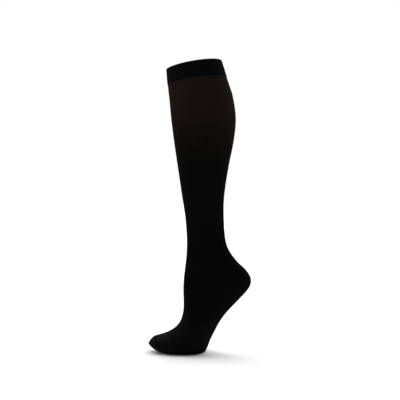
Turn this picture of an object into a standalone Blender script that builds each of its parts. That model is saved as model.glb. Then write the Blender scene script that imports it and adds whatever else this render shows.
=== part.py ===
"""Knee-high compression stocking, kept in the hollow shape of a leg on tiptoe.

The stocking is one surface, split where a maker changes the knitting: a doubled welt,
the leg, the heel pocket, the foot and the closed toe. Millimetres in the tables, metres
in the mesh. X runs from the toe (-X) to the heel (+X), Z is up, and the origin is inside
the welt, on the axis of the leg. The two sides are alike, as on a real stocking, about
Y = 0.
"""

from math import pi

import bpy
import numpy as np

MM = 0.001

# A row for each section from the knee to the toe: the point on the shin or instep line,
# the point on the calf, heel or sole line, half the width, and how far the widest place
# lies towards the back (0 is an even oval).
COLUMNS = ("front_x", "front_z", "back_x", "back_z", "half_width", "fullness")
SECTIONS = {
    "welt edge": (-49.5, 1.5, 46.5, 17.0, 51.5, 0.04),
    "welt foot": (-47.3, -24.5, 55.5, -11.5, 53.7, 0.05),
    "below knee": (-46.0, -36.8, 61.7, -30.1, 54.8, 0.06),
    "upper calf": (-44.5, -50.0, 66.5, -46.0, 55.5, 0.08),
    "calf": (-41.5, -82.0, 71.5, -83.0, 56.0, 0.10),
    "lower calf": (-36.5, -122.0, 68.0, -122.0, 53.0, 0.10),
    "shank": (-29.5, -170.0, 58.5, -170.0, 46.0, 0.08),
    "above ankle": (-22.5, -217.0, 51.5, -217.0, 38.0, 0.04),
    "ankle": (-16.5, -257.0, 50.5, -254.0, 32.5, 0.02),
    "narrow ankle": (-14.0, -292.0, 53.0, -292.0, 29.5, 0.00),
    "tendon": (-14.0, -309.0, 59.5, -313.0, 30.0, 0.00),
    "ankle bone": (-15.0, -326.0, 74.0, -333.0, 31.5, 0.04),
    "heel top": (-16.5, -339.0, 88.5, -347.0, 33.0, 0.10),
    "heel back": (-17.5, -348.0, 97.0, -360.5, 33.5, 0.14),
    "heel": (-18.5, -355.0, 97.0, -373.0, 33.0, 0.16),
    "heel bottom": (-19.0, -361.0, 90.5, -384.0, 32.5, 0.16),
    "heel front": (-19.5, -367.5, 80.5, -395.0, 32.0, 0.14),
    "arch back": (-20.0, -376.0, 68.0, -408.0, 32.0, 0.12),
    "arch": (-20.0, -389.0, 54.0, -423.0, 32.5, 0.10),
    "arch front": (-19.5, -404.0, 42.5, -439.0, 34.5, 0.08),
    "instep": (-20.5, -421.0, 34.0, -455.0, 37.5, 0.06),
    "ball back": (-25.0, -436.0, 27.0, -469.0, 41.0, 0.05),
    "ball": (-31.5, -445.0, 22.0, -482.0, 43.5, 0.04),
    "ball front": (-37.5, -450.0, 14.5, -494.0, 44.5, 0.04),
    "toe roots": (-45.0, -454.5, -3.0, -497.0, 44.0, 0.04),
    "toes": (-53.0, -458.0, -23.0, -497.0, 41.5, 0.04),
    "toe joints": (-62.0, -460.5, -43.0, -495.5, 36.5, 0.04),
    "toe ends": (-71.0, -463.5, -60.5, -490.0, 29.0, 0.04),
    "toe front": (-77.0, -468.5, -72.5, -483.5, 19.0, 0.04),
    "toe tip": (-80.0, -474.0, -79.0, -478.0, 8.0, 0.00),
}
STATION = {name: float(i) for i, name in enumerate(SECTIONS)}

FLOOR_Z = -489.0  # the ball of the foot is pressed flat on this level
PRESS_ROUND = 2.0  # rounding where the side of the foot turns into the flat sole

SEAM_GAP = 0.3
AROUND = 32  # columns round a tube, the first one on the shin line
STEP = 0.002  # step in a parameter when a direction is measured

HEEL_MIDDLE = STATION["heel"]
HEEL_HALF = 3.0  # sections between the middle of the heel pocket and its edge, at the back
HEEL_ARMS = 9  # columns between the back of the heel and the side where its edges meet
TOE_EDGE = STATION["toe roots"] + 0.5

# Wall in millimetres, rows of faces along the piece, colour, roughness.
PIECES = {
    "welt": (2.0, 3, (0.0030, 0.0028, 0.0026), 0.80),
    "leg": (1.2, 26, (0.0062, 0.0050, 0.0040), 0.72),
    "heel": (1.5, 12, (0.0026, 0.0025, 0.0024), 0.78),
    "foot": (1.2, 22, (0.0026, 0.0025, 0.0024), 0.74),
    "toe": (1.5, 10, (0.0030, 0.0029, 0.0028), 0.76),
}


def clear_scene():
    for old in list(bpy.data.objects):
        bpy.data.objects.remove(old, do_unlink=True)


def along(column, t):
    """The column's value at t sections from the welt, on a smooth curve through its rows."""
    rows = np.array([row[COLUMNS.index(column)] for row in SECTIONS.values()])
    rows = np.concatenate(([2 * rows[0] - rows[1]], rows, [2 * rows[-1] - rows[-2]]))
    start = np.clip(np.floor(t).astype(int), 0, len(SECTIONS) - 2)
    f = t - start
    before, here, there, after = (rows[start + k] for k in range(4))
    bend = 2 * before - 5 * here + 4 * there - after
    twist = 3 * here - 3 * there + after - before
    return here + 0.5 * ((there - before) * f + bend * f**2 + twist * f**3)


def skin(u, t):
    """The stocking's outer surface: u is the angle round from the shin, t the section."""
    towards_back = (1 - np.cos(u)) / 2
    front_x, front_z = along("front_x", t), along("front_z", t)
    x = front_x + (along("back_x", t) - front_x) * towards_back
    z = front_z + (along("back_z", t) - front_z) * towards_back
    y = along("half_width", t) * np.sin(u) * (1 - along("fullness", t) * np.cos(u))
    above = z - FLOOR_Z
    z = FLOOR_Z + 0.5 * (above + np.sqrt(above**2 + PRESS_ROUND**2))
    return np.stack([x, y, z], axis=-1)


def outwards(u, t):
    """Unit normals of the skin, pointing away from the leg."""
    ahead = np.clip(t + STEP, 0, len(SECTIONS) - 1)
    behind = np.clip(t - STEP, 0, len(SECTIONS) - 1)
    normal = np.cross(skin(u + STEP, t) - skin(u - STEP, t), skin(u, ahead) - skin(u, behind))
    return normal / np.linalg.norm(normal, axis=-1, keepdims=True)


def moved_along(u, t, distance):
    """The section reached by walking this many millimetres down the skin from t."""
    per_section = np.linalg.norm(skin(u, t + STEP) - skin(u, t - STEP), axis=-1) / (2 * STEP)
    return t + distance / per_section


def columns_round(count=AROUND):
    return np.arange(count) * 2 * pi / count


def heel_half(u):
    """Sections between the middle of the heel pocket and its edge: most at the back, none
    at the sides, where the leg meets the foot across the instep."""
    from_back = np.abs(u - pi) / (HEEL_ARMS * 2 * pi / AROUND)
    return HEEL_HALF * np.cos(pi / 2 * np.minimum(from_back, 1)) ** 2


def band(u, first, last, rows):
    """A grid of sections from one edge to the other, each edge half a seam gap in."""
    top = moved_along(u, first, SEAM_GAP / 2)
    bottom = moved_along(u, last, -SEAM_GAP / 2)
    share = np.linspace(0, 1, rows + 1)[:, None]
    return top + (bottom - top) * share


def wall_mesh(name, u, t, wall, closed_round, closed_end=False):
    """A closed wall between the skin and the same skin moved in. The grid's rows run down
    the leg. It closes round a tube, or has two side edges, and the toe closes at its end."""
    rows, columns = t.shape
    u = np.broadcast_to(u, t.shape)
    outer = skin(u, t)
    inner = outer - wall * outwards(u, t)
    points = [outer.reshape(-1, 3), inner.reshape(-1, 3)]
    skins = rows * columns

    def corner(layer, row, column):
        return layer * skins + row * columns + column % columns

    spans = columns if closed_round else columns - 1
    faces = []
    for row in range(rows - 1):
        for column in range(spans):
            quad = ((row, column), (row + 1, column), (row + 1, column + 1), (row, column + 1))
            faces.append([corner(0, *place) for place in reversed(quad)])
            faces.append([corner(1, *place) for place in quad])

    def rim(path):
        for (a, b), (c, d) in zip(path, path[1:]):
            faces.append([corner(0, c, d), corner(0, a, b), corner(1, a, b), corner(1, c, d)])

    rim([(0, column) for column in range(spans + 1)])
    if not closed_round:
        rim([(row, columns - 1) for row in range(rows)])
        rim([(row, 0) for row in reversed(range(rows))])
    if closed_end:
        for layer, ring in enumerate((outer[-1], inner[-1])):
            points.append(ring.mean(axis=0, keepdims=True))
            pole = 2 * skins + layer
            for column in range(columns):
                ends = [corner(layer, rows - 1, column), corner(layer, rows - 1, column + 1)]
                faces.append([pole, *(reversed(ends) if layer else ends)])
    else:
        rim([(rows - 1, column) for column in reversed(range(spans + 1))])

    mesh = bpy.data.meshes.new(name)
    mesh.from_pydata((np.concatenate(points) * MM).tolist(), [], faces)
    mesh.shade_smooth()
    mesh.set_sharp_from_angle(angle=pi / 4)
    return mesh


def knit(name, colour, roughness):
    material = bpy.data.materials.new(name + " knit")
    material.use_nodes = True
    surface = material.node_tree.nodes["Principled BSDF"]
    surface.inputs["Base Color"].default_value = (*colour, 1)
    surface.inputs["Roughness"].default_value = roughness
    surface.inputs["Metallic"].default_value = 0
    return material


def add_piece(name, u, first, last, closed_round=True, closed_end=False):
    wall, rows, colour, roughness = PIECES[name]
    t = band(u, first, last, rows)
    mesh = wall_mesh(name, u, t, wall, closed_round, closed_end)
    mesh.materials.append(knit(name, colour, roughness))
    bpy.context.scene.collection.objects.link(bpy.data.objects.new(name, mesh))


def build():
    clear_scene()
    u = columns_round()
    even = np.ones(AROUND)
    welt_foot = STATION["welt foot"] * even
    add_piece("welt", u, STEP * even, welt_foot)
    add_piece("leg", u, welt_foot, HEEL_MIDDLE - heel_half(u))
    back = u[np.abs(u - pi) < (HEEL_ARMS - 0.5) * 2 * pi / AROUND]
    add_piece("heel", back, HEEL_MIDDLE - heel_half(back), HEEL_MIDDLE + heel_half(back), closed_round=False)
    add_piece("foot", u, HEEL_MIDDLE + heel_half(u), TOE_EDGE * even)
    add_piece("toe", u, TOE_EDGE * even, STATION["toe tip"] * even, closed_end=True)


build()
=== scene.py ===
# %% [markdown]
# # A knee-high compression stocking in Blender
#
# A compression stocking is one knitted tube. The machine starts with a doubled band, the welt,
# knits the leg, lets extra rows into the back for the heel, knits the foot, and closes the
# toe. Nobody wears this one, yet it keeps the hollow shape of a leg on tiptoe, as if it were
# on an invisible leg. This lesson builds its looks round a fixed frame: plain solids of the
# same stocking, which say where each zone begins and ends.

# %% Load the fixed frame
from math import pi
from types import SimpleNamespace

import bpy
import numpy as np
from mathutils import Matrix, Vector


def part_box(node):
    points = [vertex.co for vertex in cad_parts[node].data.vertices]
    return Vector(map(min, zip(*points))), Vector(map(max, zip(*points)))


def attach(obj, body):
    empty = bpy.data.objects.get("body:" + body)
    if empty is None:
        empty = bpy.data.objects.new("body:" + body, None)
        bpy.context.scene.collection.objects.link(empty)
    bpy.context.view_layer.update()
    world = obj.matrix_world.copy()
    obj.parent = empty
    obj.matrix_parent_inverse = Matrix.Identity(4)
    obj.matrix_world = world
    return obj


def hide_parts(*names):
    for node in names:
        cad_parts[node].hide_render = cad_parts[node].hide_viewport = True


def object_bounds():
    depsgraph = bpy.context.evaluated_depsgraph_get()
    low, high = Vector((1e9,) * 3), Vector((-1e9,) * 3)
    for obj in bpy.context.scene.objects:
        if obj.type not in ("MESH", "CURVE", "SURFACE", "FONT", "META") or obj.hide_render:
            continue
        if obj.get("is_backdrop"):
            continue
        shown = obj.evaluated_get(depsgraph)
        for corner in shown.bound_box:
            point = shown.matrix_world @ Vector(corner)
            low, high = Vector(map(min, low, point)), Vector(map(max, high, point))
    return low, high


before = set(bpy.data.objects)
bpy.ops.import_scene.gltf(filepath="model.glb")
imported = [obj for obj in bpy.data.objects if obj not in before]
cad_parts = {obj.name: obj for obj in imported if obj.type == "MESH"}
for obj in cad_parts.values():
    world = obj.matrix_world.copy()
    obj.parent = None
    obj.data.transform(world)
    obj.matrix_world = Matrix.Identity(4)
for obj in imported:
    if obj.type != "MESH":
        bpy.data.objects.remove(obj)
cad_low, cad_high = (np.array(corner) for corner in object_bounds())
print("frame pieces:", sorted(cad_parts))
print("frame size in mm:", np.round((cad_high - cad_low) * 1000, 1))

# %% [markdown]
# ## The camera
#
# A stocking is sold from its side view, so the camera looks straight along +Y, level, from
# about the middle of the stocking's height. A long lens from 1.4 m keeps the welt and the foot
# in proportion, and still bends the welt's edge into a slight arch, because that edge is above
# the lens. The lens length follows from the width that the view has to show.

# %% Camera
SHOT_WIDTH = 0.698  # what the view shows from side to side, at the stocking's middle
SHOT_DISTANCE = 1.400
SHOT_RISE = 0.0103  # the lens is this much above the middle of the stocking

middle = (cad_low + cad_high) / 2
camera = bpy.data.objects.new("camera", bpy.data.cameras.new("camera"))
bpy.context.scene.collection.objects.link(camera)
bpy.context.scene.camera = camera
camera.location = (middle[0], -SHOT_DISTANCE, middle[2] + SHOT_RISE)
camera.rotation_euler = (pi / 2, 0, 0)
camera.data.lens = camera.data.sensor_width * SHOT_DISTANCE / SHOT_WIDTH
camera.data.clip_start = 0.05
camera.data.clip_end = 200
print("lens in mm:", round(camera.data.lens, 1))

# %% [markdown]
# ## The shape of the leg
#
# The elastic knit has no shape of its own: it takes the leg's. A leg is easiest to describe by
# sections, from the knee to the toe tip. Each one is an oval between a point on the shin or
# instep line and a point on the calf, heel or sole line. Such a table is short, each row can
# be read and corrected, and a smooth curve through the rows gives every section in between.
# Near the heel the ovals open like the pages of a book, which is also how the rows of a
# knitted heel lie.

# %% Sections of the leg, in millimetres
MM = 0.001
COLUMNS = ("front_x", "front_z", "back_x", "back_z", "half_width", "fullness")
SECTIONS = {
    "welt edge": (-49.5, 1.5, 46.5, 17.0, 51.5, 0.04),
    "welt foot": (-47.3, -24.5, 55.5, -11.5, 53.7, 0.05),
    "below knee": (-46.0, -36.8, 61.7, -30.1, 54.8, 0.06),
    "upper calf": (-44.5, -50.0, 66.5, -46.0, 55.5, 0.08),
    "calf": (-41.5, -82.0, 71.5, -83.0, 56.0, 0.10),
    "lower calf": (-36.5, -122.0, 68.0, -122.0, 53.0, 0.10),
    "shank": (-29.5, -170.0, 58.5, -170.0, 46.0, 0.08),
    "above ankle": (-22.5, -217.0, 51.5, -217.0, 38.0, 0.04),
    "ankle": (-16.5, -257.0, 50.5, -254.0, 32.5, 0.02),
    "narrow ankle": (-14.0, -292.0, 53.0, -292.0, 29.5, 0.00),
    "tendon": (-14.0, -309.0, 59.5, -313.0, 30.0, 0.00),
    "ankle bone": (-15.0, -326.0, 74.0, -333.0, 31.5, 0.04),
    "heel top": (-16.5, -339.0, 88.5, -347.0, 33.0, 0.10),
    "heel back": (-17.5, -348.0, 97.0, -360.5, 33.5, 0.14),
    "heel": (-18.5, -355.0, 97.0, -373.0, 33.0, 0.16),
    "heel bottom": (-19.0, -361.0, 90.5, -384.0, 32.5, 0.16),
    "heel front": (-19.5, -367.5, 80.5, -395.0, 32.0, 0.14),
    "arch back": (-20.0, -376.0, 68.0, -408.0, 32.0, 0.12),
    "arch": (-20.0, -389.0, 54.0, -423.0, 32.5, 0.10),
    "arch front": (-19.5, -404.0, 42.5, -439.0, 34.5, 0.08),
    "instep": (-20.5, -421.0, 34.0, -455.0, 37.5, 0.06),
    "ball back": (-25.0, -436.0, 27.0, -469.0, 41.0, 0.05),
    "ball": (-31.5, -445.0, 22.0, -482.0, 43.5, 0.04),
    "ball front": (-37.5, -450.0, 14.5, -494.0, 44.5, 0.04),
    "toe roots": (-45.0, -454.5, -3.0, -497.0, 44.0, 0.04),
    "toes": (-53.0, -458.0, -23.0, -497.0, 41.5, 0.04),
    "toe joints": (-62.0, -460.5, -43.0, -495.5, 36.5, 0.04),
    "toe ends": (-71.0, -463.5, -60.5, -490.0, 29.0, 0.04),
    "toe front": (-77.0, -468.5, -72.5, -483.5, 19.0, 0.04),
    "toe tip": (-80.0, -474.0, -79.0, -478.0, 8.0, 0.00),
}
STATION = {name: float(row) for row, name in enumerate(SECTIONS)}
LAST = STATION["toe tip"]
print(len(SECTIONS), "sections of", len(COLUMNS), "numbers")

# %% The skin over the sections
FLOOR_Z = -489.0  # the ball of the foot is pressed flat on this level
PRESS_ROUND = 2.0  # rounding where the side of the foot turns into the flat sole
STEP = 0.002  # step in angle and section when a direction is measured

table = np.array(list(SECTIONS.values()))
table = np.concatenate(([2 * table[0] - table[1]], table, [2 * table[-1] - table[-2]]))


def section_at(t):
    """The six numbers of section t: the Catmull-Rom curve through the four nearest rows, whose
    slope at a row is half the step between its neighbours. Past either end the table goes on
    in a straight line."""
    start = np.clip(np.floor(t).astype(int), 0, len(SECTIONS) - 2)
    f = (t - start)[..., None]
    before, here, there, after = (table[start + k] for k in range(4))
    bend = 2 * before - 5 * here + 4 * there - after
    twist = 3 * here - 3 * there + after - before
    value = here + 0.5 * ((there - before) * f + bend * f**2 + twist * f**3)
    return np.moveaxis(value, -1, 0)


def skin(u, t):
    """The outer surface. u is the angle round from the shin, t the section. A point goes from
    the front point to the back point as (1 - cos u) / 2 goes from 0 to 1, and sideways as
    sin u. The sole is pressed flat: a height above the floor becomes half of itself plus half
    of its root-sum-square with the rounding."""
    u, t = np.broadcast_arrays(u, t)
    front_x, front_z, back_x, back_z, half_width, fullness = section_at(t)
    towards_back = (1 - np.cos(u)) / 2
    x = front_x + (back_x - front_x) * towards_back
    z = front_z + (back_z - front_z) * towards_back
    y = half_width * np.sin(u) * (1 - fullness * np.cos(u))
    above = z - FLOOR_Z
    z = FLOOR_Z + 0.5 * (above + np.sqrt(above**2 + PRESS_ROUND**2))
    return np.stack([x, y, z], axis=-1)


def outwards(u, t):
    """Unit normals of the skin: the cross product of its two directions, each measured over a
    small step to both sides."""
    ahead, behind = np.clip(t + STEP, 0, LAST), np.clip(t - STEP, 0, LAST)
    normal = np.cross(skin(u + STEP, t) - skin(u - STEP, t), skin(u, ahead) - skin(u, behind))
    return normal / np.linalg.norm(normal, axis=-1, keepdims=True)


def off_skin(u, t, height):
    """Points in metres, this many millimetres outwards from the skin."""
    return (skin(u, t) + outwards(u, t) * np.asarray(height)[..., None]) * MM


def lengths_along(points):
    """Distance walked down the first axis of a grid of points, from its first row."""
    steps = np.linalg.norm(np.diff(points, axis=0), axis=-1)
    return np.concatenate([np.zeros((1, *steps.shape[1:])), np.cumsum(steps, axis=0)])


for name in ("calf", "narrow ankle"):
    ring = skin(np.linspace(0, 2 * pi, 721), np.full(721, STATION[name]))
    print(name, "girth in mm:", round(lengths_along(ring)[-1]))

# %% [markdown]
# ## Does it fit the frame?
#
# The frame's solids were made from the same table, with straight facets. Before anything is
# built on this surface it is compared with them: both boxes should agree to a fraction of a
# millimetre.

# %% Compare the surface with the frame
look_t, look_u = np.meshgrid(np.linspace(0, LAST, 600), np.linspace(0, 2 * pi, 361), indexing="ij")
look = off_skin(look_u, look_t, 0.0).reshape(-1, 3)
print("low corner off by, mm:", np.round((look.min(axis=0) - cad_low) / MM, 2))
print("high corner off by, mm:", np.round((look.max(axis=0) - cad_high) / MM, 2))

# %% [markdown]
# ## Where the zones meet
#
# The heel is a lens let into the back of the tube: its two edges are far apart at the back and
# meet at the sides of the ankle, and past them the leg runs straight on into the foot. So an
# edge between two zones is not one section but a section for each angle. The rows of a grid
# should be evenly spaced on the cloth, although the table's sections are not, so they are
# placed by length.

# %% Edges of the zones
HEEL_HALF = 3.0  # sections from the middle of the heel pocket to its edge, at the back
HEEL_REACH = np.radians(101.25)  # angle from the back at which the curved edges would meet
HEEL_END = np.radians(91)  # angle from the back at which they are brought together
HEEL_CLOSING = np.radians(1)  # angle over which that is done
HEEL_MIDDLE = STATION["heel"]
WELT_FOOT = STATION["welt foot"]
TOE_EDGE = STATION["toe roots"] + 0.5
MEASURED_ROWS = 400  # rows at which a length is measured


def heel_half(u):
    """Half the height of the heel pocket in sections: a squared cosine of the angle from the
    back, brought down to nothing in a straight line over the last degree."""
    from_back = np.abs(u - pi)
    closing = np.clip((HEEL_END - from_back) / HEEL_CLOSING, 0, 1)
    return HEEL_HALF * np.cos(pi / 2 * np.minimum(from_back / HEEL_REACH, 1)) ** 2 * closing


def even_rows(u, first, last, count):
    """A grid of sections, a row down and a column for each angle, from first to last, and the
    mean length walked at each row. The rows cut that length into equal parts."""
    share = np.linspace(0, 1, MEASURED_ROWS)[:, None]
    length = lengths_along(skin(u, first + (last - first) * share)).mean(axis=1)
    walked = np.linspace(0, length[-1], count)
    share = np.interp(walked, length, share[:, 0])[:, None]
    return first + (last - first) * share, walked


sides = np.radians(180 + np.array([-91, -90, -45, 0]))
print("height of the heel pocket in sections, from a side to the back:", np.round(2 * heel_half(sides), 2))

# %% [markdown]
# ## From grids to a piece of cloth
#
# A piece is made of grids of points, with faces between neighbouring rows and columns. Walls,
# the rims that join two walls, and round threads are all such grids, so one helper does for
# all of them: it takes a grid of point numbers and two maps. The first map lays the piece flat
# in a unit square, for anyone who bakes or paints it. The second counts stitches: across by
# wales, the columns of the knit, and down by courses, its rows.

# %% Cloth helper
MARGIN = 0.01  # room round a wall's flat map for its rims


class Cloth:
    """Collects the points of a piece, its faces, and both map values of each face's corners."""

    def __init__(self):
        self.points, self.faces, self.flat, self.knit = [], [], [], []

    def add_points(self, points, wraps):
        """Numbers the points of a grid. On a tube the first column comes again after the last."""
        start = sum(len(some) for some in self.points)
        self.points.append(points.reshape(-1, 3))
        index = start + np.arange(points[..., 0].size).reshape(points.shape[:-1])
        return np.concatenate([index, index[:, :1]], axis=1) if wraps else index

    def add_quads(self, index, flat, knit):
        """Faces between neighbouring rows and columns. They look in the direction of the cross
        product of the way along a row and the way down a column."""
        for kept, grid in ((self.faces, index[..., None]), (self.flat, flat), (self.knit, knit)):
            corners = (grid[:-1, :-1], grid[:-1, 1:], grid[1:, 1:], grid[1:, :-1])
            kept.append(np.stack(corners, axis=2).reshape(-1, 4, grid.shape[-1]))

    def add_fan(self, index, flat, knit):
        """Triangles from each step along a ring, the first row, to the same place in the second
        row, which is one point all along."""
        for kept, grid in ((self.faces, index[..., None]), (self.flat, flat), (self.knit, knit)):
            kept.append(np.stack([grid[0, :-1], grid[0, 1:], grid[1, :-1]], axis=1))

    def add_rim(self, outer, inner, edge, step):
        """A strip that joins one edge of two walls. step is the way out of the flat map there:
        the inner side of the rim lies one margin, and one stitch, further out."""
        turned = 1 if step in ((0, 1), (-1, 0)) else -1
        index = np.stack([outer.index[edge], inner.index[edge]])
        flat = np.stack([outer.flat[edge], outer.flat[edge] + np.multiply(step, MARGIN)])
        knit = np.stack([outer.knit[edge], outer.knit[edge] + step])
        self.add_quads(index[::turned], flat[::turned], knit[::turned])

    def piece(self, name):
        """The finished mesh object, at the origin, with its maps."""
        mesh = bpy.data.meshes.new(name)
        faces = [face for some in self.faces for face in some[..., 0].tolist()]
        mesh.from_pydata(np.concatenate(self.points).tolist(), [], faces)
        for map_name, values in (("OFBake", self.flat), ("knit", self.knit)):
            corners = np.concatenate([some.reshape(-1, 2) for some in values])
            layer = mesh.uv_layers.new(name=map_name, do_init=False)
            layer.uv.foreach_set("vector", corners.astype(np.float32).ravel())
        mesh.shade_smooth()
        mesh.set_sharp_from_angle(angle=pi / 3)
        made = bpy.data.objects.new(name, mesh)
        bpy.context.scene.collection.objects.link(made)
        print(name, "has", len(faces), "faces")
        return made


def stitch_map(wales, courses):
    """The (wale, course) of each place, from a row or grid of wales and a column of courses."""
    return np.stack(np.broadcast_arrays(wales, courses), axis=-1).astype(float)


def flat_map(knit, side):
    """A grid's places in the unit square: across by columns, down by courses."""
    courses = knit[:, 0, 1]
    share = (courses - courses[0]) / (courses[-1] - courses[0])
    across = np.linspace(side, 1 - side, knit.shape[1])
    return np.stack(np.meshgrid(across, MARGIN + (1 - 2 * MARGIN) * share), axis=-1)


# %% [markdown]
# ## Two walls and their rims
#
# A single surface would do for a far view, but cloth has two faces and an edge, and the mesh
# should have them too. So each zone is a closed wall: an outer grid, an inner grid turned the
# other way round, and rims along the open edges.

# %% Wall helper
END_RIMS = ((np.s_[0], (0, -1)), (np.s_[-1], (0, 1)))  # edge of the grid, way out of the flat map
SIDE_RIMS = ((np.s_[:, -1], (1, 0)), (np.s_[:, 0], (-1, 0)))


def add_wall(cloth, outer, inner, rims, wraps):
    """Two grids, each given as (points, stitch map), and the rims between them. It returns
    what it numbered and mapped, for faces that are added to it."""
    layers = []
    for points, knit in (outer, inner):
        flat = flat_map(knit, 0.0 if wraps else MARGIN)
        layers.append(SimpleNamespace(index=cloth.add_points(points, wraps), flat=flat, knit=knit))
    for layer, turned in zip(layers, (1, -1)):
        cloth.add_quads(layer.index[:, ::turned], layer.flat[:, ::turned], layer.knit[:, ::turned])
    for edge, step in rims:
        cloth.add_rim(*layers, edge, step)
    return layers


# %% [markdown]
# ## The leg and the foot
#
# Leg and foot are one plain knit. Its wales run from the knee to the toes, and every second
# one stands a little higher, because an elastic thread is laid in behind it. Those ribs are
# real relief here, a twentieth of a millimetre high, with four columns of points to a rib.
# They are lower where a thick calf stretches the knit flat, and they die out where another
# zone is knitted on. In front of the ankle nothing is knitted on, so there the foot's rows and
# ribs go on from the leg's. The single stitches are too many for geometry and come with the
# finish.

# %% Ribs of the plain knit
WALES = 360
COURSE = 0.80  # height of one row of stitches
RIBS = WALES // 2
AROUND = 4 * RIBS
RIB_HEIGHT = 0.05
RIB_FADE = 4.0  # length over which a rib dies out
NARROW, WIDE = 28, 58  # half widths of the section where the ribs are highest and lowest
WALL = 0.9

angles = np.arange(AROUND) * 2 * pi / AROUND
wales_round = np.linspace(0, WALES, AROUND + 1)  # with the first column again at the end
everywhere = np.ones(AROUND)
print(RIBS, "ribs, with", AROUND, "columns of points")


def fade_in(walked, over):
    """0 at an edge and 1 a little way in, an eased step."""
    share = np.clip(walked / over, 0, 1)
    return share**2 * (3 - 2 * share)


def rib_relief(u, t, fade):
    """Height of the ribs: a cosine round the leg, 1.3 times the height where the section is
    narrow and 0.7 times where it is wide."""
    half_width = section_at(t)[COLUMNS.index("half_width")]
    stretched = np.clip((half_width - NARROW) / (WIDE - NARROW), 0, 1)
    return RIB_HEIGHT * (1.3 - 0.6 * stretched) * np.cos(RIBS * u) * fade


def plain_zone(name, edges, rows, inner_rows, first_course, knitted_on):
    """A tube of plain knit between two edges. knitted_on says for each edge at which columns
    another zone begins. It returns the piece and the number of courses down to its end."""
    t, walked = even_rows(angles, *edges, rows)
    inner_t, inner_walked = even_rows(angles, *edges, inner_rows)
    down = lengths_along(skin(angles, t))
    fade_top = np.where(knitted_on[0], fade_in(down, RIB_FADE), 1)
    fade_end = np.where(knitted_on[1], fade_in(down[-1] - down, RIB_FADE), 1)
    outer = off_skin(angles, t, rib_relief(angles, t, fade_top * fade_end))
    inner = off_skin(angles, inner_t, -WALL)
    courses, inner_courses = (first_course + some[:, None] / COURSE for some in (walked, inner_walked))
    cloth = Cloth()
    add_wall(
        cloth,
        (outer, stitch_map(wales_round, courses)),
        (inner, stitch_map(wales_round, inner_courses)),
        END_RIMS,
        wraps=True,
    )
    print(f"{name}: {walked[-1]:.0f} mm long, courses {courses[0, 0]:.0f} to {courses[-1, 0]:.0f}")
    return cloth.piece(name), courses[-1, 0]


# %% Leg and foot
all_round = everywhere > 0
at_heel = np.abs(angles - pi) < HEEL_END
leg_edges = (WELT_FOOT * everywhere, HEEL_MIDDLE - heel_half(angles))
foot_edges = (HEEL_MIDDLE + heel_half(angles), TOE_EDGE * everywhere)
leg, leg_courses = plain_zone("leg_knit", leg_edges, 84, 36, 0.0, (all_round, at_heel))
foot, foot_courses = plain_zone("foot_knit", foot_edges, 60, 30, leg_courses, (at_heel, all_round))

# %% [markdown]
# ## The heel pocket
#
# Heel and toe wear most, so they are knitted with a thicker thread and without ribs. The heel
# is knitted to and fro over the back half of the tube, first on fewer and fewer stitches, then
# on more and more. Where both halves join, on each side, a line of drawn-in stitches runs from
# the ankle towards the back of the heel. Here it is a shallow trough with the profile of a
# bell curve, pinched deeper at every second course.

# %% Thicker knit
PAD_WALL = 1.2
PAD_PROUD = 0.15  # how far the thicker thread stands out
PAD_RISE = 1.5  # length of the step up from the plain knit
GORE_DEPTH, GORE_WIDTH = 0.16, 0.8  # of a line of drawn-in stitches


def pad_height(to_edge):
    """Height of the thicker knit over the skin: a step up from the edge it is knitted on at."""
    return PAD_PROUD * fade_in(to_edge, PAD_RISE)


def gore(off_line, along_line):
    """Depth of a line of drawn-in stitches, from the distances off it and along it: a bell
    curve across the line, half as deep at every second course."""
    pinched = 0.75 + 0.25 * np.cos(along_line * pi / COURSE)
    return GORE_DEPTH * np.exp(-((off_line / GORE_WIDTH) ** 2)) * pinched


# %% Heel
HEEL_ROWS, HEEL_COLUMNS = 109, 365
HEEL_BLUNT = 0.01  # sections left between the edges at the sides, so that no face is squashed
GORE_FROM, GORE_RISE = 0.42, 0.25  # angle from the back where the line begins, and its fade

heel_angles = np.linspace(pi - HEEL_END, pi + HEEL_END, HEEL_COLUMNS)
half = np.maximum(heel_half(heel_angles), HEEL_BLUNT)
heel_t, heel_walked = even_rows(heel_angles, HEEL_MIDDLE - half, HEEL_MIDDLE + half, HEEL_ROWS)
heel_skin = skin(heel_angles, heel_t)
heel_down = lengths_along(heel_skin)
heel_across = lengths_along(heel_skin[HEEL_ROWS // 2])
to_edge = np.minimum(heel_down, heel_down[-1] - heel_down)
heel_line = gore(heel_down - heel_down[HEEL_ROWS // 2], heel_across) * fade_in(to_edge, GORE_WIDTH)
heel_line *= fade_in(np.abs(heel_angles - pi) - GORE_FROM, GORE_RISE)
heel_map = stitch_map(heel_angles * WALES / (2 * pi), leg_courses + heel_walked[:, None] / COURSE)
heel_cloth = Cloth()
add_wall(
    heel_cloth,
    (off_skin(heel_angles, heel_t, pad_height(to_edge) - heel_line), heel_map),
    (off_skin(heel_angles, heel_t, -PAD_WALL), heel_map),
    END_RIMS + SIDE_RIMS,
    wraps=False,
)
heel = heel_cloth.piece("heel_pocket")
print(f"heel: {heel_across[-1]:.0f} mm round, {heel_down[-1].max():.0f} mm high at the back")

# %% [markdown]
# ## The toe pocket
#
# The toe closes the tube. Its last section is still an oval the size of a thumbnail, so the
# rows go on past it, drawn in like a quarter circle, and a fan of triangles ends at the tip.
# A toe grows narrower, so its wales can't all reach the tip. They run side by side along the
# top and the sole, and end on a line of drawn-in stitches at each side, so here wales are
# counted by length from the middle of the top or of the sole. A low ridge across the top is
# where the toe was closed.

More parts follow.
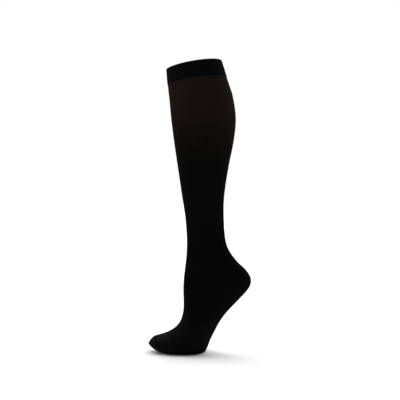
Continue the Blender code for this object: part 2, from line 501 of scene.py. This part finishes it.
# %% Lines of the toe
SEAM_T = STATION["toe ends"] - 0.25  # section of the closing seam
SEAM_REACH = np.radians(75)  # angle from the top to each end of the seam
SEAM_RIDGE, SEAM_WIDTH = 0.25, 0.7
SEAM_FADE = 0.15  # angle over which the ridge dies out at its ends
TOE_WALE = 1.0  # width of a wale
print("the toe begins at section", TOE_EDGE, "and is closed at section", SEAM_T)


def mm_per_section(u, t):
    """How far the skin goes on from one section to the next at this place."""
    return np.linalg.norm(skin(u, t + STEP) - skin(u, t - STEP), axis=-1) / (2 * STEP)


def seam_ridge(u, t):
    """The closing seam's ridge: a bell curve along the foot, fading out at both ends."""
    off_line = (t - SEAM_T) * mm_per_section(u, t)
    from_end = SEAM_REACH - np.minimum(np.abs(u), 2 * pi - u)
    return SEAM_RIDGE * np.exp(-((off_line / SEAM_WIDTH) ** 2)) * fade_in(from_end, SEAM_FADE)


def toe_relief(u, t):
    """Height of the toe's knit: the thicker thread, the closing seam, and at each side the line
    of drawn-in stitches. A turn round from it is worth half the section's thickness."""
    down = lengths_along(skin(u, t))
    front_x, front_z, back_x, back_z = section_at(t)[:4]
    half_thick = np.hypot(back_x - front_x, back_z - front_z) / 2
    off_side = np.abs(np.abs(u - pi) - pi / 2) * half_thick
    return pad_height(down) + seam_ridge(u, t) - gore(off_side, down) * fade_in(down, RIB_FADE)


def wales_from_middles(points):
    """Wales of a tube's grid, by length from the middle of the top to the sides, and from there
    back down to the middle of the sole."""
    closed = np.concatenate([points, points[:, :1]], axis=1)
    walked = lengths_along(np.moveaxis(closed, 1, 0)).T
    from_top = np.minimum(walked, walked[:, -1:] - walked)
    return np.minimum(from_top, walked[:, -1:] / 2 - from_top) / TOE_WALE


# %% Toe
TOE_COLUMNS, TOE_ROWS, TOE_INNER_ROWS, TIP_ROWS = 288, 150, 40, 8
TIP_BULGE = 1.2  # how far the tip stands out past the last section

toe_angles = np.arange(TOE_COLUMNS) * 2 * pi / TOE_COLUMNS


def toe_wall(rows, inside):
    """(points, stitch map) of one wall, and its tip. Past the last section each row is the last
    ring drawn in by the cosine of an angle, and moved forwards by the bulge times its sine."""
    t, _ = even_rows(toe_angles, TOE_EDGE, np.full(TOE_COLUMNS, LAST), rows)
    height = np.full(t.shape, -PAD_WALL) if inside else toe_relief(toe_angles, t)
    wall = off_skin(toe_angles, t, height)
    turn = np.linspace(0, pi / 2, TIP_ROWS + 1)[1:-1, None, None]
    centre = wall[-1].mean(axis=0)
    forwards = np.array([PAD_WALL * inside - TIP_BULGE, 0, 0]) * MM
    rounded = centre + (wall[-1] - centre) * np.cos(turn) + forwards * np.sin(turn)
    wall = np.concatenate([wall, rounded])
    courses = foot_courses + lengths_along(wall / MM).mean(axis=1)[:, None] / COURSE
    return (wall, stitch_map(wales_from_middles(wall / MM), courses)), centre + forwards


toe_outer, outer_tip = toe_wall(TOE_ROWS, False)
toe_inner, inner_tip = toe_wall(TOE_INNER_ROWS, True)
toe_cloth = Cloth()
toe_layers = add_wall(toe_cloth, toe_outer, toe_inner, END_RIMS[:1], wraps=True)
for layer, tip, turned in zip(toe_layers, (outer_tip, inner_tip), (1, -1)):
    ring, flat, knit = (grid[-1, ::turned] for grid in (layer.index, layer.flat, layer.knit))
    tips = np.broadcast_to(toe_cloth.add_points(tip[None, None], False)[0], ring.shape)
    past = (np.stack([flat, flat + (0, MARGIN)]), np.stack([knit, knit + (0, 1)]))
    toe_cloth.add_fan(np.stack([ring, tips]), *past)
toe = toe_cloth.piece("toe_pocket")
print("courses down to the toe tip:", round(toe_outer[1][-1, 0, 1]))

# %% [markdown]
# ## The welt
#
# The welt is the same knit turned over on itself, so it has two plies, a soft round fold along
# the top, and twice the grip. Its cross-section is a closed outline: down the outer ply, round
# the hem, up the inner ply and over the fold. Carried round the leg, that outline makes a ring
# that closes both ways, like a flattened tyre. The hem is drawn in where it is linked to the
# leg.

# %% Welt
WELT_PROUD, WELT_THICK = 0.55, 2.0  # off the skin, and through both plies
WELT_ROWS, FOLD_ROWS, HEM_ROWS = 30, 10, 5
FOLD = 1.0  # height of the round fold
HEM = 0.35  # how far the hem bulges below the zone's edge
HEM_PINCH, HEM_WIDTH = 0.30, 1.2  # how far the linking draws the hem in
WELT_RIB = 0.045

welt_length = even_rows(angles, 0.0, WELT_FOOT * everywhere, 2)[1][-1]


def welt_outline():
    """(way down from the top edge in millimetres, height from -1 inside to 1 outside) round the
    outline. The plies are straight, the fold is half an ellipse and the hem a flatter one."""
    down = np.linspace(FOLD, welt_length, WELT_ROWS)
    hem = np.linspace(0, pi, HEM_ROWS + 2)[1:-1]
    fold = np.linspace(0, pi, FOLD_ROWS + 2)[1:-1]
    ways = (down, welt_length + HEM * np.sin(hem), down[::-1], FOLD * (1 - np.sin(fold)))
    heights = (np.ones(WELT_ROWS), np.cos(hem), -np.ones(WELT_ROWS), -np.cos(fold))
    return np.concatenate(ways)[:, None], np.concatenate(heights)[:, None]


welt_way, welt_side = welt_outline()
pinch = np.exp(-(((welt_way - welt_length) / HEM_WIDTH) ** 2))
welt_relief = WELT_RIB * np.cos(RIBS * angles) * (1 - pinch) - HEM_PINCH * pinch
welt_height = WELT_PROUD + (welt_side - 1) * WELT_THICK / 2 + welt_relief * (1 + welt_side) / 2
welt_grid = off_skin(angles, welt_way / welt_length * WELT_FOOT * everywhere, welt_height)
welt_walked = lengths_along(np.concatenate([welt_grid, welt_grid[:1]])).mean(axis=1) / MM
welt_map = stitch_map(wales_round, welt_walked[:, None] / COURSE)
welt_cloth = Cloth()
welt_index = welt_cloth.add_points(welt_grid, wraps=True)
welt_cloth.add_quads(np.concatenate([welt_index, welt_index[:1]]), flat_map(welt_map, 0.0), welt_map)
welt = welt_cloth.piece("welt_band")
print(f"welt: {welt_length:.1f} mm high, {welt_walked[-1]:.1f} mm round both plies")

# %% [markdown]
# ## Threads
#
# Only two places are sewn: the linking of the hem under the welt, and the seam that closes the
# toe. A thread is a round profile carried along a path that zigzags over the cloth. The path
# is worked out as an angle, a section and a height off the skin, so it needs no fitting.

# %% Thread helper
SIDES = 6  # of a thread's profile
STITCH_POINTS = 8  # points of a path for each stitch


def thread(name, u, t, height, radius, closed):
    """A tube along a path of angles, sections and heights. Its profile is a circle on two
    directions at right angles to the path: across it in the cloth, and away from the cloth.
    An open tube gets two faces over each end."""
    path = off_skin(u, t, height)
    around = np.roll(path, -1, axis=0) - np.roll(path, 1, axis=0)
    ahead = around if closed else np.gradient(path, axis=0)
    ahead /= np.linalg.norm(ahead, axis=-1, keepdims=True)
    across = np.cross(ahead, outwards(u, t))
    across /= np.linalg.norm(across, axis=-1, keepdims=True)
    away = np.cross(across, ahead)
    turn = (np.arange(SIDES) * 2 * pi / SIDES)[:, None, None]
    cloth = Cloth()
    index = cloth.add_points(path + (across * np.cos(turn) + away * np.sin(turn)) * radius * MM, closed)
    knit = stitch_map(np.arange(index.shape[1]) / STITCH_POINTS, np.arange(SIDES + 1)[:, None] / SIDES)
    cloth.add_quads(np.concatenate([index, index[:1]]), flat_map(knit, 0.0), knit)
    if not closed:
        for end, turned in ((0, 1), (-1, -1)):
            cap = index[[[0, 1, 2], [5, 4, 3]], end][:, ::turned]
            cloth.add_quads(cap, flat_map(knit[:2, :3], 0.0) * MARGIN, knit[:2, :3])
    return cloth.piece(name)


def zigzag(stitches):
    """The phase along a row of stitches: a full turn for each."""
    return np.arange(stitches * STITCH_POINTS + 1) * 2 * pi / STITCH_POINTS


# %% Linking under the welt
LINK_DOWN, LINK_REACH, LINK_RADIUS = 0.25, 0.45, 0.12
LINK_HEIGHT, LINK_LIFT = 0.10, 0.08  # off the skin, and how much it rises at each turn

phase = zigzag(RIBS)[:-1]
link_u = phase / RIBS
link_t = np.full(len(phase), WELT_FOOT)
link_t += (LINK_DOWN + LINK_REACH * np.sin(phase)) / mm_per_section(link_u, link_t)
link_height = LINK_HEIGHT + LINK_LIFT * np.cos(2 * phase)
linking = thread("welt_linking", link_u, link_t, link_height, LINK_RADIUS, True)

# %% Seam of the toe
SEAM_STITCHES, SEAM_STITCH, SEAM_RADIUS = 58, 0.65, 0.11
SEAM_LIFT = 0.05  # how far the thread lies over the ridge
SEAM_SINK, SEAM_END = 0.4, 0.04  # how deep its ends go into the cloth, over this angle

phase = zigzag(SEAM_STITCHES)
seam_u = np.linspace(-SEAM_REACH, SEAM_REACH, len(phase))
seam_t = np.full(len(phase), SEAM_T)
seam_t += SEAM_STITCH * np.sin(phase) / mm_per_section(seam_u, seam_t)
sunk = SEAM_SINK * (1 - fade_in(SEAM_REACH - np.abs(seam_u), SEAM_END))
seam_height = PAD_PROUD + seam_ridge(seam_u, seam_t) + SEAM_LIFT - sunk
toe_seam = thread("toe_seam", seam_u, seam_t, seam_height, SEAM_RADIUS, False)

# %% [markdown]
# ## Shader maths as expressions
#
# A knit is a repeating formula, and a formula is easier to read as an expression than as a
# page of nodes. So a small class wraps the output of a node, and its operators add Math nodes.

# %% Expressions for shader nodes
class Wave:
    """A value that varies over a surface: the output socket of a node."""

    def __init__(self, finish, socket):
        self.finish = finish
        self.socket = socket

    def maths(self, operation, *values):
        sockets = dict(zip(("Value", "Value_001"), values))
        return self.finish.node("ShaderNodeMath", {"operation": operation}, sockets)

    def __add__(self, other):
        return self.maths("ADD", self, other)

    def __sub__(self, other):
        return self.maths("SUBTRACT", self, other)

    def __rsub__(self, other):
        return self.maths("SUBTRACT", other, self)

    def __mul__(self, other):
        return self.maths("MULTIPLY", self, other)

    def __pow__(self, other):
        return self.maths("POWER", self, other)

    __radd__ = __add__
    __rmul__ = __mul__

    def fraction(self):
        return self.maths("FRACT", self)

    def absolute(self):
        return self.maths("ABSOLUTE", self)

    def sine(self):
        return self.maths("SINE", self)

    def part(self, axis):
        """One part of a vector: 0, 1 or 2 for X, Y or Z."""
        return self.finish.node("ShaderNodeSeparateXYZ", {}, {"Vector": self}, output=axis)

    def stretched(self, *scales):
        """The vector with each part multiplied by a number of its own."""
        sockets = {"Vector": self, "Vector_001": scales}
        return self.finish.node("ShaderNodeVectorMath", {"operation": "MULTIPLY"}, sockets)


# %% [markdown]
# ## One material
#
# Every node that isn't plain maths comes from one method of the material, so that a node, its
# settings and what goes into it are read in one place. What is the same all over the cloth is
# set on the shader's own sockets.

# %% Material helper
class Finish:
    """One material. node() makes a node of a type, sets its settings, then gives its sockets
    values or links, and returns one of its outputs."""

    def __init__(self, name):
        self.material = bpy.data.materials.new(name)
        self.material.use_nodes = True
        self.tree = self.material.node_tree

    def node(self, kind, settings, sockets, output=0):
        made = self.tree.nodes.new(kind)
        for key, value in settings.items():
            setattr(made, key, value)
        self.fill(made, sockets)
        return Wave(self, made.outputs[output])

    def fill(self, node, sockets):
        by_name = {socket.identifier: socket for socket in node.inputs}
        for key, value in sockets.items():
            if isinstance(value, Wave):
                self.tree.links.new(value.socket, by_name[key])
            else:
                by_name[key].default_value = value

    def surface(self, **sockets):
        """Fills the sockets of the material's Principled shader."""
        named = {key.replace("_", " "): value for key, value in sockets.items()}
        self.fill(self.tree.nodes["Principled BSDF"], named)

    def stitches(self):
        """The count of wales and courses, a vector."""
        return self.node("ShaderNodeUVMap", {"uv_map": "knit"}, {})

    def place(self):
        """Object coordinates in metres, a vector."""
        return self.node("ShaderNodeTexCoord", {}, {}, output=3)

    def noise(self, vector, scale, detail):
        return self.node("ShaderNodeTexNoise", {}, {"Vector": vector, "Scale": scale, "Detail": detail})

    def mixed(self, share, first, second):
        """The colour between two colours, at a share from 0 to 1."""
        settings = {"data_type": "RGBA", "clamp_factor": True}
        sockets = {"Factor_Float": share, "A_Color": first, "B_Color": second}
        return self.node("ShaderNodeMix", settings, sockets, output=2)

    def bump(self, height, distance, strength, **under):
        sockets = {"Height": height, "Distance": distance, "Strength": strength}
        return self.node("ShaderNodeBump", {}, {**sockets, **under})


def opaque(colour, times=1.0):
    return (*(times * part for part in colour), 1.0)


# %% [markdown]
# ## The knit finish
#
# Plain knit shows its right side as columns of little V's. With the distance from the middle
# of a wale as a number from 0 to 1, the V's are stripes of the course number plus about half
# that distance, so their height is a sine of the sum, and a groove sinks between two wales.
# The yarn is matt black nylon and spandex. Light is painted into the colour between the stitches:
# under the welt a painted warm glow, as of light coming in at the open top and through the knit,
# lightest just under the welt and gone lower down the calf, and over the ball of the foot a
# painted grey glow, as of light coming up from the white floor, lightest near the floor.
# Everything is as uneven as real yarn: cloudy from place to place, streaked along some wales,
# barred along some courses.

# %% Knit
LEG_YARN = (0.0024, 0.0024, 0.0023)
HEEL_YARN = (0.0022, 0.0022, 0.0022)
# painted light: the toe's black made lighter, as of light on the toe from above and from the floor
TOE_YARN_PAINTED_LIGHTER = (0.0058, 0.0058, 0.0058)  # as grey as the knit over the ball of the foot
WELT_YARN = (0.0028, 0.0027, 0.0026)
LIGHTEST = 1.9  # the lightest places are this many times as light
# painted light: a warm glow, as of light coming in at the open top and through the knit under the welt
PAINTED_WARM_GLOW = (0.0176, 0.0124, 0.0088)
# painted light: grey light coming up from the white floor, over the ball of the foot
PAINTED_FLOOR_GLOW = (0.0078, 0.0078, 0.0077)
GLOSS = 0.003  # very little, because the loops shade each other
CLOUDS, FUZZ = 38.0, 2600.0  # to a metre
FUZZ_HEIGHT = 0.06
STREAKS = (0.9, 0.012, 0.0)  # to a wale and to a course: narrow and long
BARS = (0.004, 0.22, 0.0)  # wide and low


def stitch_height(stitch):
    """Height of the yarn from 0, the bottom of a groove, to 1, the back of a loop."""
    across = (stitch.part(0).fraction() - 0.5).absolute() * 2.0
    stripe = (stitch.part(1) + across * 0.55).fraction()
    ridge = 1.0 - across**3.0
    return (stripe * pi).sine() * 0.65 * ridge + ridge * 0.35


def knit_finish(name, yarn, depth, painted_light=None):
    """The finish of one zone. depth is the loops' height in millimetres. The last argument, if given,
    is the colour of light painted between the stitches and a pair of heights in metres: the
    painted light is full at the first and gone at the second."""
    finish = Finish(name)
    stitch, place = finish.stitches(), finish.place()
    height = stitch_height(stitch)
    cloud = finish.noise(place, CLOUDS, 3.0)
    streaks = finish.noise(stitch.stretched(*STREAKS), 1.0, 1.0)
    bars = finish.noise(stitch.stretched(*BARS), 1.0, 1.0)
    uneven = cloud * 0.5 + streaks * 0.9 + bars * 0.5
    colour = finish.mixed(uneven - 0.55, opaque(yarn), opaque(yarn, times=LIGHTEST))
    if painted_light:
        painted_light_colour, full_light_z, no_light_z = painted_light
        # painted light: a ramp over height between the two given heights, shown most between the loops
        settings = {"interpolation_type": "SMOOTHSTEP", "clamp": True}
        sockets = {"Value": place.part(2), "From Min": no_light_z, "From Max": full_light_z}
        painted_light_share = finish.node("ShaderNodeMapRange", settings, sockets) * (1.0 - height * 0.75)
        colour = finish.mixed(painted_light_share * (0.75 + uneven * 0.3), colour, opaque(painted_light_colour))
    loops = finish.bump(height, depth * MM, 0.8)
    fuzz = finish.noise(place, FUZZ, 2.0)
    finish.surface(
        Base_Color=colour,
        Roughness=0.88 - height * 0.16 + cloud * 0.12,
        Normal=finish.bump(fuzz, FUZZ_HEIGHT * MM, 0.35, Normal=loops),
        Specular_IOR_Level=GLOSS,
        Sheen_Weight=0.001,
        Sheen_Roughness=0.45,
    )
    print(name, "has", len(finish.tree.nodes), "nodes")
    return finish.material


# %% [markdown]
# ## Sewing thread
#
# Thread is two plies twisted together, which shows as slanting stripes. Its map counts round
# the tube one way and along it the other, so the slant is a sum of both.

# %% Thread
TWISTS = 4.0  # turns to a stitch
TWIST_DEPTH = 0.04


def thread_finish(name, yarn):
    """Thread with the slanting stripes of its twist: a sine of the turns along it and round."""
    finish = Finish(name)
    turns = finish.stitches()
    twist = ((turns.part(0) * TWISTS + turns.part(1)) * (2 * pi)).sine()
    cloud = finish.noise(finish.place(), 400.0, 2.0)
    finish.surface(
        Base_Color=finish.mixed(cloud, opaque(yarn), opaque(yarn, times=1.6)),
        Roughness=0.84 + cloud * 0.1,
        Normal=finish.bump(twist, TWIST_DEPTH * MM, 0.6),
        Specular_IOR_Level=GLOSS,
    )
    return finish.material


# %% Finishes
PLAIN_DEPTH, WELT_DEPTH, PAD_DEPTH = 0.22, 0.26, 0.28  # height of the loops, in millimetres
# where the painted warm glow under the welt is full, and where it is gone
GLOW_FULL_BELOW_TOP, GLOW_GONE_BELOW_TOP = 0.015, 0.165  # metres below the top of the leg
# where the painted grey floor light over the ball of the foot is full, and where it is gone
FLOOR_GLOW_FULL_UP, FLOOR_GLOW_GONE_UP = 0.020, 0.085  # metres above the lowest place of the foot

leg_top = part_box("leg")[1].z
foot_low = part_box("foot")[0].z
# painted warm glow under the welt
painted_glow_under_welt = (PAINTED_WARM_GLOW, leg_top - GLOW_FULL_BELOW_TOP, leg_top - GLOW_GONE_BELOW_TOP)
# painted grey floor light over the ball of the foot
painted_floor_glow = (PAINTED_FLOOR_GLOW, foot_low + FLOOR_GLOW_FULL_UP, foot_low + FLOOR_GLOW_GONE_UP)
leg.data.materials.append(knit_finish("leg knit", LEG_YARN, PLAIN_DEPTH, painted_glow_under_welt))
foot.data.materials.append(knit_finish("foot knit", LEG_YARN, PLAIN_DEPTH, painted_floor_glow))
heel.data.materials.append(knit_finish("heel knit", HEEL_YARN, PAD_DEPTH))
toe.data.materials.append(knit_finish("toe knit", TOE_YARN_PAINTED_LIGHTER, PAD_DEPTH))
welt.data.materials.append(knit_finish("welt knit", WELT_YARN, WELT_DEPTH))
linking.data.materials.append(thread_finish("thread under the welt", LEG_YARN))
# the toe's thread takes the toe's colour, with its painted light
toe_seam.data.materials.append(thread_finish("thread of the toe", TOE_YARN_PAINTED_LIGHTER))

# %% [markdown]
# ## Joining the pieces to the frame
#
# Each zone stands for the frame's solid of the same zone, which is hidden, and rides on its one
# body; its finish was given above. Each is also a sheet of cloth, and the table lists the size
# that it was knitted to. Unworn, a compression stocking is about a quarter narrower than the leg
# that it goes on, and a little shorter. The welt's size is that of the band as it lies, already
# turned over.

# %% Ride and replace
ZONES = (
    # piece, node, slot, knitted size all round and along (m), area (m2), threads on it
    (leg, "leg", "leg_knit", (0.270, 0.322), 0.0690, [linking]),
    (foot, "foot", "foot_knit", (0.190, 0.140), 0.0225, []),
    (heel, "heel", "heel_knit", (0.095, 0.060), 0.0045, []),
    (toe, "toe", "toe_knit", (0.170, 0.055), 0.0062, [toe_seam]),
    (welt, "welt", "welt_knit", (0.260, 0.028), 0.0072, []),
)
for piece, node, slot_name, size, area, threads in ZONES:
    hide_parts(node)
    for each in (piece, *threads):
        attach(each, "root")
print("zones joined to the frame:", len(ZONES))

# %% [markdown]
# ## Studio
#
# Black cloth on white paper: the paper has to burn out to white, and the cloth has to stay
# black. So the light comes from a row of wide softboxes above and behind the stocking, which
# light the paper and draw the foot's shadow forwards, and little comes from the camera's side.
# A sun lamp with a wide angle is such a softbox, far enough away to light all of the paper
# alike. The surround looks white, yet gives off only a little light of its own.

# %% Softboxes
PAPER = 0.88  # how much of its light the paper gives back
PAPER_WHITE = 1.25  # how brightly the lamps light the paper, where 1 is white
SOFTBOX_TILT = np.radians(52)  # from straight above, towards the back
SOFTBOX_ANGLE = np.radians(60)
SOFTBOX_TURNS = np.radians((-50, 0, 50))  # round from straight behind

scene = bpy.context.scene
scene.view_settings.view_transform = "Standard"


def softbox(name, turn, power):
    """A lamp at endless distance, tilted to the back and then turned round the vertical."""
    light = bpy.data.lights.new(name, "SUN")
    light.angle = SOFTBOX_ANGLE
    light.energy = power
    lamp = bpy.data.objects.new(name, light)
    scene.collection.objects.link(lamp)
    level = np.sin(SOFTBOX_TILT)
    towards = Vector((level * np.sin(turn), level * np.cos(turn), np.cos(SOFTBOX_TILT)))
    lamp.rotation_euler = towards.to_track_quat("Z", "Y").to_euler()


lamp_power = PAPER_WHITE * pi / PAPER / np.cos(SOFTBOX_TILT) / len(SOFTBOX_TURNS)
for number, turn in enumerate(SOFTBOX_TURNS):
    softbox(f"softbox {number + 1}", turn, lamp_power)
print("power of each softbox:", round(lamp_power, 2))

# %% Surround and paper
FILL = 0.10  # brightness of the surround as a light
FLOOR_REACH = 60.0  # the paper goes on this far to every side, in metres

world = bpy.data.worlds.new("white surround")
scene.world = world
world.use_nodes = True
seen = world.node_tree.nodes.new("ShaderNodeLightPath")
brightness = world.node_tree.nodes.new("ShaderNodeMapRange")
brightness.inputs["To Min"].default_value = FILL
background = world.node_tree.nodes["Background"]
background.inputs["Color"].default_value = (1, 1, 1, 1)
world.node_tree.links.new(seen.outputs["Is Camera Ray"], brightness.inputs["Value"])
world.node_tree.links.new(brightness.outputs["Result"], background.inputs["Strength"])

paper = Finish("white paper")
paper.surface(Base_Color=opaque((PAPER,) * 3), Roughness=0.9, Specular_IOR_Level=0.0)
corners = np.array([(-1, -1, 0), (1, -1, 0), (1, 1, 0), (-1, 1, 0)]) * FLOOR_REACH
floor_mesh = bpy.data.meshes.new("floor")
floor_mesh.from_pydata((corners + (0, 0, FLOOR_Z * MM)).tolist(), [], [(0, 1, 2, 3)])
floor_mesh.materials.append(paper.material)
floor = bpy.data.objects.new("floor", floor_mesh)
scene.collection.objects.link(floor)
floor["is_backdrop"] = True
